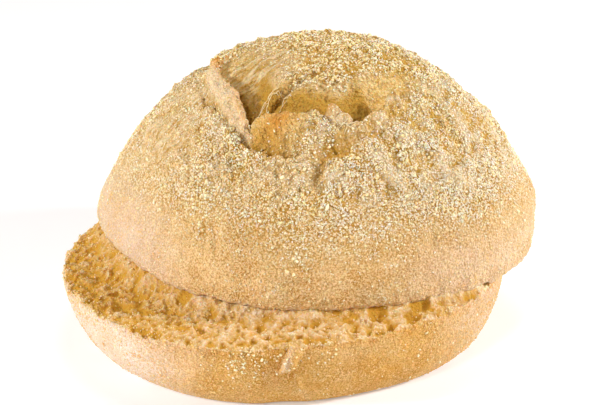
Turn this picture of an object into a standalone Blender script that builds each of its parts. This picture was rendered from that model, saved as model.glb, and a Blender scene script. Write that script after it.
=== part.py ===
"""A round floured bread roll, cut in two, with its crown set down askew on its base.

Two solids, at real size, in metres, +Z up. The origin is on the table under the middle of the base.
+X is to the right and +Y to the back, seen from the side where the torn crown faces you.
"""

import math

import bmesh
import bpy

MM = 0.001

# The base: the bottom slice of the roll. An outline is a circle with a few slow waves in it,
# each given as (waves round the circle, share of the radius, turn in radians).
BASE_RADIUS = 52.1 * MM
BASE_OUTLINE = ((2, 0.048, -0.16), (3, 0.027, 0.13), (5, 0.006, 0.7))
CUT_HEIGHT = 19.1 * MM
CUT_SLOPE_X = 0.033
CUT_SLOPE_Y = 0.013
FOOT_SHARE = 0.84
FOOT_ROUNDNESS = 1.52

# The fold in the crust of the base, where the dough was tucked under.
FOLD_ANGLE = math.radians(-88)
FOLD_HALF_WIDTH = 3.2 * MM
FOLD_DEPTH = 1.1 * MM

# The crown: the domed top of the roll, moved to the right and to the back of the base.
CROWN_RADIUS = 53.1 * MM
CROWN_OUTLINE = ((2, 0.042, -0.65), (3, 0.013, -0.46), (4, 0.020, -0.275))
CROWN_X = 8.4 * MM
CROWN_Y = 14.9 * MM
CROWN_TOP = 69.8 * MM
CROWN_SHOULDER = 1.136
CROWN_ROUNDNESS = 2.38
GIRTH_ROUNDING = 0.06
TOP_DRIFT_X = 2.2 * MM
TOP_DRIFT_Y = -3.1 * MM

# The widest girth of the crown lies this far above its cut rim, on its left and on its right.
GIRTH_LEFT = 2.2 * MM
GIRTH_RIGHT = 10.8 * MM
TUCK_UNDER = 0.9 * MM

# The crown stands on the middle of its cut face, and its rim is lifted off the base on the left.
REST_GAP = 0.4 * MM
RIM_LIFT = 4.8 * MM
LIFT_STARTS = 0.68

# The tear in the crown, as paths in plan. The floured skin ends at TORN_EDGE. Inside it a tongue and
# a strip of dough stand up to BROKEN_CREST, and behind that the roll has burst open into a hollow.
TORN_EDGE = (
    (-17.5 * MM, 8.0 * MM),
    (-14.5 * MM, -2.0 * MM),
    (-11.0 * MM, -9.5 * MM),
    (-6.5 * MM, -16.5 * MM),
    (-1.0 * MM, -20.5 * MM),
    (5.0 * MM, -22.5 * MM),
)
SLIT_DEPTH = 2.6 * MM
SLIT_HALF_WIDTH = 2.6 * MM
BROKEN_CREST = (
    (-18.0 * MM, 15.0 * MM),
    (-14.0 * MM, 3.0 * MM),
    (-8.5 * MM, -6.5 * MM),
    (-4.5 * MM, -12.0 * MM),
    (5.0 * MM, -14.5 * MM),
    (13.0 * MM, -16.5 * MM),
    (20.5 * MM, -15.5 * MM),
    (28.0 * MM, -9.5 * MM),
)
CREST_HEIGHT = 1.2 * MM
CREST_HALF_WIDTH = 3.5 * MM
HOLLOW_DEPTH = 6.0 * MM
HOLLOW_LENGTH = 14.0 * MM
HOLLOW_WALL = 4.5 * MM

# How finely the faceted solids follow their curves.
CROWN_SEGMENTS = 96
BASE_SEGMENTS = 80
TOP_RINGS = 24
SHOULDER_RINGS = 10
SHOULDER_STARTS = 0.75
FLANK_RINGS = 6
CUT_SHARES = (0.9, 0.75, 0.5, 0.25)
SHARP_EDGE = math.radians(50)


def wavy(outline, angle):
    """The share of its radius that an outline has at an angle."""
    return 1 + sum(share * math.cos(waves * (angle - turn)) for waves, share, turn in outline)


def smooth_step(value):
    """0 below 0, 1 above 1, and an even S between them."""
    value = min(1.0, max(0.0, value))
    return value * value * (3 - 2 * value)


def hump(value):
    """A bell that is 1 at 0 and fades out to both sides."""
    return math.exp(-value * value)


def cut_height(x, y):
    """The height of the cut face of the base."""
    return CUT_HEIGHT + CUT_SLOPE_X * x + CUT_SLOPE_Y * y


def nearest(path, x, y):
    """How far a point in plan is to the left of a path, and how far along it, from 0 to 1."""
    best, side, place = math.inf, 1.0, 0.0
    spans = len(path) - 1
    for i, ((ax, ay), (bx, by)) in enumerate(zip(path, path[1:])):
        dx, dy = bx - ax, by - ay
        share = ((x - ax) * dx + (y - ay) * dy) / (dx * dx + dy * dy)
        held = min(1.0, max(0.0, share))
        distance = math.hypot(x - ax - held * dx, y - ay - held * dy)
        if distance < best:
            best = distance
            side = math.copysign(1.0, dx * (y - ay) - dy * (x - ax))
            place = (i + held) / spans
    return side * best, place


def fade_at_ends(place, share):
    """1 along the middle of a path, down to 0 over a share of it at both ends."""
    return smooth_step(place / share) * smooth_step((1 - place) / share)


def tear_relief(x, y):
    """How far the torn crown stands above the smooth dome, in metres."""
    inside, place = nearest(TORN_EDGE, x, y)
    relief = -SLIT_DEPTH * hump(inside / SLIT_HALF_WIDTH) * fade_at_ends(place, 0.3)
    behind, place = nearest(BROKEN_CREST, x, y)
    relief += CREST_HEIGHT * hump(behind / CREST_HALF_WIDTH) * fade_at_ends(place, 0.2)
    fall = smooth_step(behind / HOLLOW_WALL) * (1 - smooth_step(behind / HOLLOW_LENGTH))
    return relief - HOLLOW_DEPTH * fall * fade_at_ends(place, 0.35)


def base_ring(radius_share, height_share, segments):
    """One ring of the flank of the base, from its foot (height 0) to the cut (height 1)."""
    ring = []
    for i in range(segments):
        angle = math.tau * i / segments
        radius = BASE_RADIUS * wavy(BASE_OUTLINE, angle) * radius_share
        turned = (angle - FOLD_ANGLE + math.pi) % math.tau - math.pi
        fold = FOLD_DEPTH * hump(turned * BASE_RADIUS / FOLD_HALF_WIDTH)
        radius -= fold * smooth_step(radius_share / FOOT_SHARE)
        x, y = radius * math.cos(angle), radius * math.sin(angle)
        ring.append((x, y, cut_height(x, y) * height_share))
    return ring


def base_rings():
    """The rings of the base, from the middle of its foot, up its flank and in over the cut face."""
    rings = [base_ring(FOOT_SHARE * share, 0.0, BASE_SEGMENTS) for share in (0.5, 1.0)]
    for i in range(1, FLANK_RINGS + 1):
        height = i / FLANK_RINGS
        bulge = (1 - (1 - height) ** FOOT_ROUNDNESS) ** (1 / FOOT_ROUNDNESS)
        rings.append(base_ring(FOOT_SHARE + (1 - FOOT_SHARE) * bulge, height, BASE_SEGMENTS))
    rings += [base_ring(share, 1.0, BASE_SEGMENTS) for share in CUT_SHARES]
    return rings, (0.0, 0.0, 0.0), (0.0, 0.0, cut_height(0.0, 0.0))


def crown_girth(angle):
    """The girth radius of the crown at an angle, its rim radius, and the height from rim to girth."""
    radius = CROWN_RADIUS * wavy(CROWN_OUTLINE, angle)
    above_rim = (GIRTH_LEFT + GIRTH_RIGHT) / 2 + (GIRTH_RIGHT - GIRTH_LEFT) / 2 * math.cos(angle)
    return radius, radius - TUCK_UNDER * (above_rim / (10 * MM)) ** 2, above_rim


def underside_height(x, y, angle, share):
    """The height of the cut face of the crown, at a share of the way from its middle to its rim."""
    lift = RIM_LIFT * (1 - math.cos(angle)) / 2
    return cut_height(x, y) + REST_GAP + lift * smooth_step((share - LIFT_STARTS) / (1 - LIFT_STARTS))


def underside_ring(share):
    """One ring of the cut face of the crown."""
    ring = []
    for i in range(CROWN_SEGMENTS):
        angle = math.tau * i / CROWN_SEGMENTS
        rim = crown_girth(angle)[1] * share
        x, y = CROWN_X + rim * math.cos(angle), CROWN_Y + rim * math.sin(angle)
        ring.append((x, y, underside_height(x, y, angle, share)))
    return ring


def crown_ring(up):
    """One ring of the crust of the crown, from its girth (up 0) to its top (up 1)."""
    ring = []
    eased = up * (1 - math.exp(-up / GIRTH_ROUNDING))
    spread = (1 - eased**CROWN_SHOULDER) ** (1 / CROWN_ROUNDNESS)
    for i in range(CROWN_SEGMENTS):
        angle = math.tau * i / CROWN_SEGMENTS
        girth, rim, above_rim = crown_girth(angle)
        rim_x, rim_y = CROWN_X + rim * math.cos(angle), CROWN_Y + rim * math.sin(angle)
        low = underside_height(rim_x, rim_y, angle, 1.0) + above_rim
        x = CROWN_X + girth * spread * math.cos(angle) + TOP_DRIFT_X * up * up
        y = CROWN_Y + girth * spread * math.sin(angle) + TOP_DRIFT_Y * up * up
        ring.append((x, y, low + (CROWN_TOP - low) * up + tear_relief(x, y)))
    return ring


def tuck_ring(share):
    """One ring between the cut rim of the crown (share 0) and its girth (share 1)."""
    ring = []
    for i in range(CROWN_SEGMENTS):
        angle = math.tau * i / CROWN_SEGMENTS
        girth, rim, above_rim = crown_girth(angle)
        radius = rim + (girth - rim) * math.sin(share * math.pi / 2)
        rim_x, rim_y = CROWN_X + rim * math.cos(angle), CROWN_Y + rim * math.sin(angle)
        low = underside_height(rim_x, rim_y, angle, 1.0)
        x, y = CROWN_X + radius * math.cos(angle), CROWN_Y + radius * math.sin(angle)
        ring.append((x, y, low + above_rim * share))
    return ring


def crown_rings():
    """The rings of the crown, from the middle of its cut face, out to the rim and up to its top."""
    rings = [underside_ring(share) for share in (0.3, LIFT_STARTS, 0.84, 0.94)]
    rings += [tuck_ring(share) for share in (0.0, 0.33, 0.67)]
    shoulder = (1 - SHOULDER_STARTS**CROWN_ROUNDNESS) ** (1 / CROWN_SHOULDER)
    rings += [crown_ring(shoulder * i / SHOULDER_RINGS) for i in range(SHOULDER_RINGS)]
    for i in range(TOP_RINGS):
        radius_share = SHOULDER_STARTS * (1 - i / TOP_RINGS)
        rings.append(crown_ring((1 - radius_share**CROWN_ROUNDNESS) ** (1 / CROWN_SHOULDER)))
    top_x, top_y = CROWN_X + TOP_DRIFT_X, CROWN_Y + TOP_DRIFT_Y
    bottom = (CROWN_X, CROWN_Y, underside_height(CROWN_X, CROWN_Y, 0.0, 0.0))
    return rings, bottom, (top_x, top_y, CROWN_TOP + tear_relief(top_x, top_y))


def join_rings(shape, lower, upper):
    """A band of faces from one ring of corners up to the next."""
    for i in range(len(lower)):
        shape.faces.new((lower[i - 1], lower[i], upper[i], upper[i - 1]))


def cap_ring(shape, ring, middle):
    """A fan of faces from a ring of corners to a middle point."""
    cap = shape.faces.new(ring)
    fan = bmesh.ops.poke(shape, faces=[cap])
    fan["verts"][0].co = middle


def bake_solid(name, rings, bottom, top, material):
    """A closed solid over a stack of rings, with its middle points below and above."""
    shape = bmesh.new()
    stack = [[shape.verts.new(point) for point in ring] for ring in rings]
    for lower, upper in zip(stack, stack[1:]):
        join_rings(shape, lower, upper)
    cap_ring(shape, stack[0], bottom)
    cap_ring(shape, stack[-1], top)
    bmesh.ops.recalc_face_normals(shape, faces=shape.faces)
    mesh = bpy.data.meshes.new(name)
    shape.to_mesh(mesh)
    shape.free()
    mesh.materials.append(material)
    mesh.shade_smooth()
    mesh.set_sharp_from_angle(angle=SHARP_EDGE)
    solid = bpy.data.objects.new(name, mesh)
    bpy.context.scene.collection.objects.link(solid)


def baked_material(name, colour, roughness):
    """A dry crust of one colour."""
    material = bpy.data.materials.new(name)
    material.use_nodes = True
    shader = material.node_tree.nodes["Principled BSDF"]
    shader.inputs["Base Color"].default_value = (*colour, 1.0)
    shader.inputs["Roughness"].default_value = roughness
    shader.inputs["Metallic"].default_value = 0.0
    return material


def main():
    for old in list(bpy.data.objects):
        bpy.data.objects.remove(old)
    base_crust = baked_material("base_crust", (0.80, 0.55, 0.28), 0.85)
    floured_crust = baked_material("floured_crust", (0.82, 0.64, 0.38), 0.9)
    bake_solid("roll_base", *base_rings(), base_crust)
    bake_solid("roll_crown", *crown_rings(), floured_crust)


main()
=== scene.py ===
# %% [markdown]
# A rustic bread roll, cut in two, with its floured crown set down askew on its base.
#
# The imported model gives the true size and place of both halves. This lesson makes the looks
# around it: the crust, the burst in it, the open crumb on the cut face, and the semolina on top.

# %% Load the frame
import math

import bpy
import numpy as np
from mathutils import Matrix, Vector


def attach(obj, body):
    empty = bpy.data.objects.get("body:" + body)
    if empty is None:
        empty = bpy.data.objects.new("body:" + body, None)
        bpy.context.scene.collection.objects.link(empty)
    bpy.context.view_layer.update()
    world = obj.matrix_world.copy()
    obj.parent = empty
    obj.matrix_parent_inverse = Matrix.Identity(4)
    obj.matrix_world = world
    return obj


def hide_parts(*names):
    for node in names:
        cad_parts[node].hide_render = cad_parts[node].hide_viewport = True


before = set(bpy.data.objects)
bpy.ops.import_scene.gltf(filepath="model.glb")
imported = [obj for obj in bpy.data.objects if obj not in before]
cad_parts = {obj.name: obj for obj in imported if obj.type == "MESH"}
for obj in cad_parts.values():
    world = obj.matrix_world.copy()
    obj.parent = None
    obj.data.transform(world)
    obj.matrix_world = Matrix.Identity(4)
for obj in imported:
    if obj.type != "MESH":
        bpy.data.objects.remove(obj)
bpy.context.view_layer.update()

MM = 0.001

# %% [markdown]
# The roll is looked at from a little above, with a long lens, as food is usually shown, so that
# it keeps its true proportions. The camera aims at the middle of the roll.

# %% Camera
VIEW_DISTANCE = 560 * MM
VIEW_ELEVATION = math.radians(22)
VIEW_CENTRE = Vector((5.2 * MM, 0, 33.4 * MM))
LENS = 138
NEAREST_SEEN = 10 * MM


def aim(thing, place, target):
    """Puts a camera or a lamp at a place and turns it to a target."""
    thing.location = place
    thing.rotation_euler = (target - place).to_track_quat("-Z", "Y").to_euler()


camera = bpy.data.objects.new("camera", bpy.data.cameras.new("camera"))
bpy.context.scene.collection.objects.link(camera)
camera.data.lens = LENS
camera.data.clip_start = NEAREST_SEEN
back = Vector((0, -math.cos(VIEW_ELEVATION), math.sin(VIEW_ELEVATION)))
aim(camera, VIEW_CENTRE + back * VIEW_DISTANCE, VIEW_CENTRE)
bpy.context.scene.camera = camera

# %% [markdown]
# Dough is never even, so every later step needs smooth random values that depend only on place.
# Values are drawn on the corners of a grid and blended between them. Numbers from a hash need no
# table and come out the same each time. Pebbles are the same idea with a rounded bump about each
# random point, which is how flour and semolina lie on a crust.

# %% Random values by place
def hashed(cells, seed):
    """A random number from 0 to 1 for each row of whole numbers."""
    mixed = cells[:, 0] * 73856093 ^ cells[:, 1] * 19349663 ^ cells[:, 2] * 83492791 ^ seed * 40503
    mixed = (mixed ^ (mixed >> 15)) * 2246822519 & 0xFFFFFFFF
    mixed = (mixed ^ (mixed >> 13)) * 3266489917 & 0xFFFFFFFF
    return ((mixed ^ (mixed >> 16)) & 0xFFFFFF) / 0xFFFFFF


def drift(points, size, seed):
    """Smooth random values from -1 to 1 that change over about one size, in millimetres."""
    cells = points / size
    corner = np.floor(cells).astype(np.int64)
    share = cells - corner
    share = share * share * (3 - 2 * share)
    total = np.zeros(len(points))
    for i in range(8):
        step = np.array((i & 1, i >> 1 & 1, i >> 2))
        weight = np.prod(np.where(step, share, 1 - share), axis=1)
        total += weight * hashed(corner + step, seed)
    return 2 * total - 1


def layered(points, size, seed, layers=3):
    """Drift at a size, and at half of it and so on, each half as strong."""
    return sum(drift(points, size / 2**i, seed + i) / 2**i for i in range(layers)) / 1.5


def pebbles(points, size, seed):
    """Rounded bumps from 0 to 1 that lie about one size apart, in millimetres."""
    cells = points / size
    corner = np.floor(cells).astype(np.int64)
    nearest = np.full(len(points), 9.0)
    for i in range(27):
        step = np.array((i % 3 - 1, i // 3 % 3 - 1, i // 9 - 1))
        there = corner + step
        spot = there + np.stack([hashed(there, seed + k) for k in range(3)], axis=1)
        nearest = np.minimum(nearest, ((spot - cells) ** 2).sum(axis=1))
    return np.clip(1 - nearest, 0, 1)


def ease(value):
    """0 below 0, 1 above 1, and an even S between them."""
    value = np.clip(value, 0, 1)
    return value * value * (3 - 2 * value)


def hump(value):
    """A bell that is 1 at 0 and fades out to both sides."""
    return np.exp(-value * value)


# %% [markdown]
# Each half starts as a copy of its CAD solid, so its size is right. That mesh is loose triangles
# of uneven size, which would show as facets. A voxel remesh turns it into an even net, a short
# smoothing melts the facets away, and then the net is divided further where fine relief will go.
# Doing it this way spends the faces where the eye is.

# %% Copy a solid as an even net
def select_only(piece):
    """Makes a piece the only selected and the active one."""
    bpy.ops.object.select_all(action="DESELECT")
    piece.select_set(True)
    bpy.context.view_layer.objects.active = piece


def even_net(node, name, size):
    """A copy of a CAD node as an even, smooth net of quads of a size in mm."""
    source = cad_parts[node]
    piece = bpy.data.objects.new(name, source.data.copy())
    bpy.context.scene.collection.objects.link(piece)
    piece.data.materials.clear()
    select_only(piece)
    bpy.ops.object.mode_set(mode="EDIT")
    bpy.ops.mesh.select_all(action="SELECT")
    bpy.ops.mesh.remove_doubles(threshold=0.01 * MM)
    bpy.ops.object.mode_set(mode="OBJECT")
    net = piece.modifiers.new("net", "REMESH")
    net.mode = "VOXEL"
    net.voxel_size = size * MM
    net.use_smooth_shade = True
    bpy.ops.object.modifier_apply(modifier=net.name)
    melt = piece.modifiers.new("melt", "SMOOTH")
    melt.factor = 0.5
    melt.iterations = 6
    bpy.ops.object.modifier_apply(modifier=melt.name)
    print(name, "net:", len(piece.data.polygons), "quads")
    return piece


def numbers(items, label, width, kind=float):
    """What each item of a mesh holds under a label, one row of a width each."""
    flat = np.empty(len(items) * width, dtype=kind)
    items.foreach_get(label, flat)
    return flat.reshape(-1, width)


def places(piece):
    """The corners of a piece, in millimetres, one row each."""
    return numbers(piece.data.vertices, "co", 3) / MM


def move_to(piece, points):
    """Moves the corners of a piece to points given in millimetres."""
    piece.data.vertices.foreach_set("co", (points * MM).ravel())
    piece.data.update()


def normals(piece):
    """The outward direction at each corner of a piece."""
    return numbers(piece.data.vertex_normals, "vector", 3)


def divide(piece, chosen):
    """Splits each face in four where all its corners are among the chosen ones."""
    select_only(piece)
    mesh = piece.data
    corners = numbers(mesh.loops, "vertex_index", 1, np.int32).ravel()
    starts = numbers(mesh.polygons, "loop_start", 1, np.int32).ravel()
    picked = np.minimum.reduceat(chosen[corners].astype(np.int8), starts).astype(bool)
    bpy.ops.object.mode_set(mode="EDIT")
    bpy.ops.mesh.select_mode(type="FACE")
    bpy.ops.mesh.select_all(action="DESELECT")
    bpy.ops.object.mode_set(mode="OBJECT")
    mesh.polygons.foreach_set("select", picked)
    bpy.ops.object.mode_set(mode="EDIT")
    bpy.ops.mesh.subdivide(number_cuts=1)
    bpy.ops.object.mode_set(mode="OBJECT")
    print(piece.name, "divided to", len(mesh.polygons), "faces")


def paint(piece, **masks):
    """Stores each mask as one number from 0 to 1 for each corner of a piece, for its material."""
    for name, values in masks.items():
        layer = piece.data.attributes.new(name, "FLOAT", "POINT")
        layer.data.foreach_set("value", np.clip(values, 0, 1).astype(np.float32))


def triangle_count(piece):
    """How many triangles a piece has."""
    return sum(len(face.vertices) - 2 for face in piece.data.polygons)


# %% [markdown]
# The base is cut along a plane that tilts a little to the right. The same three numbers as in the
# CAD give its height anywhere, and the height over that plane tells crumb from crust later on.

# %% The cut plane
CUT_HEIGHT = 19.1
CUT_SLOPE_X = 0.033
CUT_SLOPE_Y = 0.013


def above_cut(points):
    """How far points are above the cut plane, in millimetres."""
    return points[:, 2] - CUT_HEIGHT - CUT_SLOPE_X * points[:, 0] - CUT_SLOPE_Y * points[:, 1]


off_plane = above_cut(places(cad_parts["roll_base"])).max()
print("the base's cut face is", round(off_plane, 3), "mm over the plane")

# %% [markdown]
# The crown covers most of the cut face, and only a crescent at the left and a strip along the
# front are open. To know which part of the face is open, the outline of each half in plan is
# found from its CAD solid: the farthest corner in each of many directions from its middle.

# %% Outlines in plan
SECTORS = 180
SECTOR_REACH = math.radians(4)


def outline(node, low, high):
    """Middle of a CAD node in plan, and its reach in each direction between two heights, in mm."""
    points = places(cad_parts[node])
    middle = (points[:, :2].max(axis=0) + points[:, :2].min(axis=0)) / 2
    lift = above_cut(points)
    band = points[(lift > low) & (lift < high), :2] - middle
    angle = np.arctan2(band[:, 1], band[:, 0])
    reach = np.hypot(band[:, 0], band[:, 1])
    turns = np.linspace(-math.pi, math.pi, SECTORS, endpoint=False)
    far = np.empty(SECTORS)
    for i, turn in enumerate(turns):
        apart = np.abs((angle - turn + math.pi) % math.tau - math.pi)
        far[i] = reach[apart < SECTOR_REACH].max()
    return middle, turns, far


BASE_OUTLINE = outline("roll_base", -1, 1)
CROWN_OUTLINE = outline("roll_crown", -1, 6.5)


def inside_outline(shape, points):
    """How far points are inside an outline in plan, in mm; negative outside it."""
    middle, turns, far = shape
    across = points[:, :2] - middle
    angle = np.arctan2(across[:, 1], across[:, 0])
    reach = np.interp(angle, turns, far, period=math.tau)
    return reach - np.hypot(across[:, 0], across[:, 1])


print("base is", round(2 * BASE_OUTLINE[2].mean(), 1), "mm wide on average")

# %% [markdown]
# The base gets its fine divisions where they show: once along the flank at the front, and twice
# on the open part of the cut face, a little way in under the crown too.

# %% Divide the base
COVER = 9.0
BASE_NET = 1.08
FRONT_HALF = 12
FRONT_CRUMB = 30

base = even_net("roll_base", "bread_base", BASE_NET)
points = places(base)
open_cut = (above_cut(points) > -1.8) & (inside_outline(CROWN_OUTLINE, points) < COVER)
seen_flank = (points[:, 1] < FRONT_HALF) & (above_cut(points) > -17)
divide(base, open_cut | seen_flank)
points = places(base)
open_cut = (above_cut(points) > -1.6) & (inside_outline(CROWN_OUTLINE, points) < COVER - 0.5)
divide(base, open_cut & (points[:, 1] < FRONT_CRUMB))
print("base triangles:", triangle_count(base))

# %% [markdown]
# Crumb is a foam of gas cells, and a cut opens each one it passes through. So the cut face is
# made of hollows: large cells are thrown down first, then smaller ones fill in between them,
# never closer than their walls allow. Every hollow is the part of a ball below the cut. The
# plan is bent by drift before the balls are measured, because real cells aren't round.

# %% Open the cells of a cut face
rng = np.random.default_rng(7)
CELL_SIZES = ((2.2, 8), (1.5, 50), (1.05, 420), (0.76, 1700), (0.52, 4400), (0.36, 3600))
CLOSEST = 0.66
BOWL_WIDTH = 1.22
BOWL_DEPTH = 1.1


def throw_cells(middle, reach, allowed):
    """Cells as rows of x, y and radius, packed so that only thin walls stay between them."""
    cells = np.empty((0, 3))
    for radius, wanted in CELL_SIZES:
        spots = middle + rng.uniform(-reach, reach, (wanted * 8, 2))
        sizes = radius * rng.uniform(0.8, 1.25, len(spots))
        fits = allowed(spots)
        kept = 0
        for (x, y), size in zip(spots[fits], sizes[fits]):
            if kept >= wanted:
                break
            gap = np.hypot(cells[:, 0] - x, cells[:, 1] - y) - CLOSEST * (cells[:, 2] + size)
            if len(cells) and gap.min() < 0:
                continue
            cells = np.vstack([cells, (x, y, size)])
            kept += 1
    return cells


def hollow_out(x, y, cells):
    """How deep each place lies in the opened cells, in mm; walls are where two cells meet."""
    order = np.argsort(x)
    x_sorted, y_sorted = x[order], y[order]
    depth = np.zeros(len(x))
    lifts = rng.uniform(-0.15, 0.45, len(cells))
    for (cx, cy, radius), lift in zip(cells, lifts):
        wide = BOWL_WIDTH * radius
        first, last = np.searchsorted(x_sorted, (cx - wide, cx + wide))
        span = wide**2 - (x_sorted[first:last] - cx) ** 2 - (y_sorted[first:last] - cy) ** 2
        bowl = np.where(span > 0, BOWL_DEPTH * np.sqrt(np.clip(span, 0, None)) - lift * radius, 0)
        depth[first:last] = np.maximum(depth[first:last], bowl)
    result = np.empty(len(x))
    result[order] = depth
    return result


# %% [markdown]
# The cut face of the base gets its cells, and between them it is torn a little rough, as by a
# blunt knife. Where the crown rests near it, the crumb springs up to meet it. The rim is ragged,
# because crust and crumb part there unevenly.

# %% Sculpt the cut face of the base
points = places(base)
out = normals(base)
lift = above_cut(points)
edge = inside_outline(BASE_OUTLINE, points)
under_crown = inside_outline(CROWN_OUTLINE, points)
crumb = ease((lift + 1.3) / 0.8) * ease((out[:, 2] - 0.3) / 0.3)


def open_part(spots):
    """True for spots in plan where the cut face of the base isn't covered."""
    flat = np.column_stack([spots, np.zeros(len(spots))])
    return (inside_outline(CROWN_OUTLINE, flat) < COVER + 1) & (inside_outline(BASE_OUTLINE, flat) > -0.5)


cells = throw_cells(BASE_OUTLINE[0], 58, open_part)
print("cells opened in the base:", len(cells))
bent_x, bent_y = (
    points[:, axis] + 0.8 * drift(points, 2.4, 11 + 2 * axis) + 0.35 * drift(points, 0.9, 12 + 2 * axis)
    for axis in (0, 1)
)
uncovered = ease((COVER - under_crown) / 2)
by_crown = hump((under_crown - 2) / 3.2)
depth = hollow_out(bent_x, bent_y, cells) * crumb * uncovered
depth *= (0.35 + 0.65 * ease((edge - 0.3) / 1.6)) * (1 - 0.45 * by_crown)
torn_face = 0.35 + 0.7 * layered(points, 5, 21) + 0.2 * drift(points, 1.3, 22) + 0.06 * drift(points, 0.6, 23)
spring = (2.6 + 1.3 * ease((-points[:, 0] - 5) / 25)) * by_crown * ease((edge - 1) / 4)
rim = hump(edge / 1.5) * ease((lift + 3) / 2)
ragged = 0.5 * rim * (np.abs(drift(points, 2.6, 24)) + np.abs(drift(points, 1.0, 25)))
shaped = points.copy()
shaped[:, 2] += crumb * (uncovered * torn_face + spring - 0.3 * ease(1 - edge / 2.2)) - depth - ragged
radial = points[:, :2] / (np.hypot(points[:, 0], points[:, 1])[:, None] + 0.01)
rim_shift = rim * (0.35 * drift(points, 1.8, 26) + 0.35 * drift(points, 0.8, 27) - 0.2)
shaped[:, :2] += radial * rim_shift[:, None]

# %% [markdown]
# The flank of the base is softly uneven. At the front a fold in the crust runs down it, and a
# flake of crust leans out beside the top of that fold.

# %% Sculpt the flank of the base
front = points[:, 1] < 0
skin = (1 - crumb) * ease(points[:, 2] / 2)
relief = 0.3 * layered(points, 9, 31) + 0.14 * layered(points, 2.2, 32) + 0.09 * drift(points, 1.1, 33)
crease = points[:, 0] - 2.2 - 0.16 * (17 - points[:, 2])
crease -= 1.3 * drift(points, 5, 34) + 0.5 * drift(points, 1.6, 35)
from_flake = points[:, 0] - 3.4 - 0.35 * (points[:, 2] - 15)
flake = ease((from_flake + 1.9) / 0.5) * (1 - ease((from_flake - 0.2) / 2.2))
flake *= ease((points[:, 2] - 10.5) / 2.5) * front
fold = 0.35 * hump((crease - 1.5) / 1.0) - 0.45 * hump(crease / 0.7) + 1.5 * flake
relief += fold * front * ease((points[:, 2] - 3) / 4)
shaped += out * (skin * relief)[:, None]
move_to(base, shaped)

side = np.abs(points[:, 0] - 2) / 52
dusty = np.where(points[:, 0] < 2, 0.95 * ease((side - 0.2) / 0.55), 0.6 * ease((side - 0.5) / 0.45))
# painted shade in the opened cells, darker where they are deeper, and more of it towards the left, where the
# raised left side of the crown shades the crumb
pit = (depth - 0.05) / 1.1 + 0.3 * ease((-points[:, 0] - 15) / 25)
on_lip = 0.8 * flake * hump((from_flake + 1.3) / 1.0)
paint(base, crumb=crumb, pit=pit, dusty=dusty + 0.25 * layered(points, 8, 36) + on_lip)
print("base sculpted, deepest cell", round(depth.max(), 1), "mm")

# %% [markdown]
# As the roll baked, its crown burst. The skin tore along a curved line; the dough below pushed up
# as a tongue and a strip, and behind them the roll opened into a hollow with stretched fibres.
# Each edge of the tear is a path in plan: x and y in mm, and a third value that is a height, a
# depth or a width there. Around the paths lie single lumps, given by their middle, half widths
# and height. Distances to paths are quicker to change than a mesh that was pushed by hand.

# %% Paths of the tear
LIP = (
    (-15.5, 15.5, 0.2), (-15.1, 11.5, 0.8), (-14.0, 7.0, 1.6), (-12.8, 2.8, 2.8), (-11.0, -1.8, 4.6),
    (-9.7, -6.0, 5.8), (-8.8, -9.4, 6.2), (-7.6, -12.2, 6.0),
)
TONGUE = (
    (-5.9, -13.9, 5.4), (-4.0, -14.7, 5.0), (-2.0, -15.2, 4.6), (0.8, -16.1, 4.4), (3.6, -16.8, 4.4),
    (6.6, -17.4, 4.6), (9.6, -17.8, 4.9), (12.3, -18.4, 5.2),
)
RIDGE = (
    (14.4, -18.9, 5.6), (17.2, -18.3, 6.0), (20.2, -16.8, 6.0), (22.8, -14.8, 5.4), (25.2, -12.2, 4.0),
    (27.2, -10.6, 2.0), (30.5, -9.4, 0.5), (34.0, -8.0, 0.0),
)
STRIP = (
    (-15.6, 13.0, 0.8), (-15.1, 10.0, 2.6), (-14.0, 6.0, 3.6), (-12.8, 2.2, 3.7), (-11.0, -2.2, 3.4),
    (-9.6, -6.6, 2.9), (-8.8, -9.8, 2.4), (-7.7, -12.6, 2.0), (-6.3, -15.2, 1.2), (-4.8, -17.2, 0.3),
)
SLIT = (
    (-19.4, 7.5, 0.0), (-18.4, 3.5, 0.3), (-16.8, -1.0, 0.5), (-14.6, -5.4, 0.6), (-12.4, -8.9, 0.7),
    (-9.9, -12.7, 0.9), (-7.4, -16.4, 1.0), (-4.0, -19.6, 1.0), (-1.2, -20.9, 1.0), (1.6, -21.7, 0.8),
    (4.2, -22.5, 0.4), (6.8, -22.9, 0.0),
)
LEDGE = (
    (-7.4, -13.0, 0.2), (-6.0, -11.6, 0.8), (-4.6, -10.2, 1.0), (-2.4, -8.6, 1.0), (0.0, -7.2, 1.0),
    (2.6, -5.8, 0.9), (5.4, -4.2, 0.5), (8.6, -2.4, 0.0),
)
NOTCH = (
    (-12.5, 42.0, 0.0), (-14.5, 34.0, 0.6), (-16.0, 26.0, 1.0), (-16.6, 18.0, 1.0), (-16.4, 13.0, 0.4),
    (-16.2, 9.0, 0.0),
)
FOLD = (
    (10.6, -28.0, 0.0), (9.0, -26.2, 0.8), (9.3, -24.4, 1.0), (10.9, -22.5, 1.0), (12.8, -20.8, 1.0),
    (15.6, -19.8, 0.8), (19.2, -18.8, 0.4), (22.6, -17.6, 0.0),
)
FLAKE = (
    (29.0, -2.0, 0.0), (33.5, -5.0, 0.8), (37.0, -6.4, 1.0), (41.5, -6.4, 0.8), (46.7, -4.6, 0.0),
)

BULGE = (3.2, -8.6, 5.6, 2.4, 1.3)
KNOB = (26.8, -11.2, 2.0, 1.5, 2.3)
FOLD_TIP = (13.6, -25.4, 1.7, 1.6, 1.2)
TUFT = (-15.8, 13.8, 2.2, 3.0, 1.4)
TONGUE_TOAST = (-0.8, -17.2, 4.2, 2.2, 1.0)
NUB_TOAST = (12.0, -15.8, 1.2, 1.6, 0.8)


def lump(x, y, middle_x, middle_y, wide_x, wide_y, height):
    """A rounded lump about a middle in plan."""
    return height * hump(np.hypot((x - middle_x) / wide_x, (y - middle_y) / wide_y))


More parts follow.
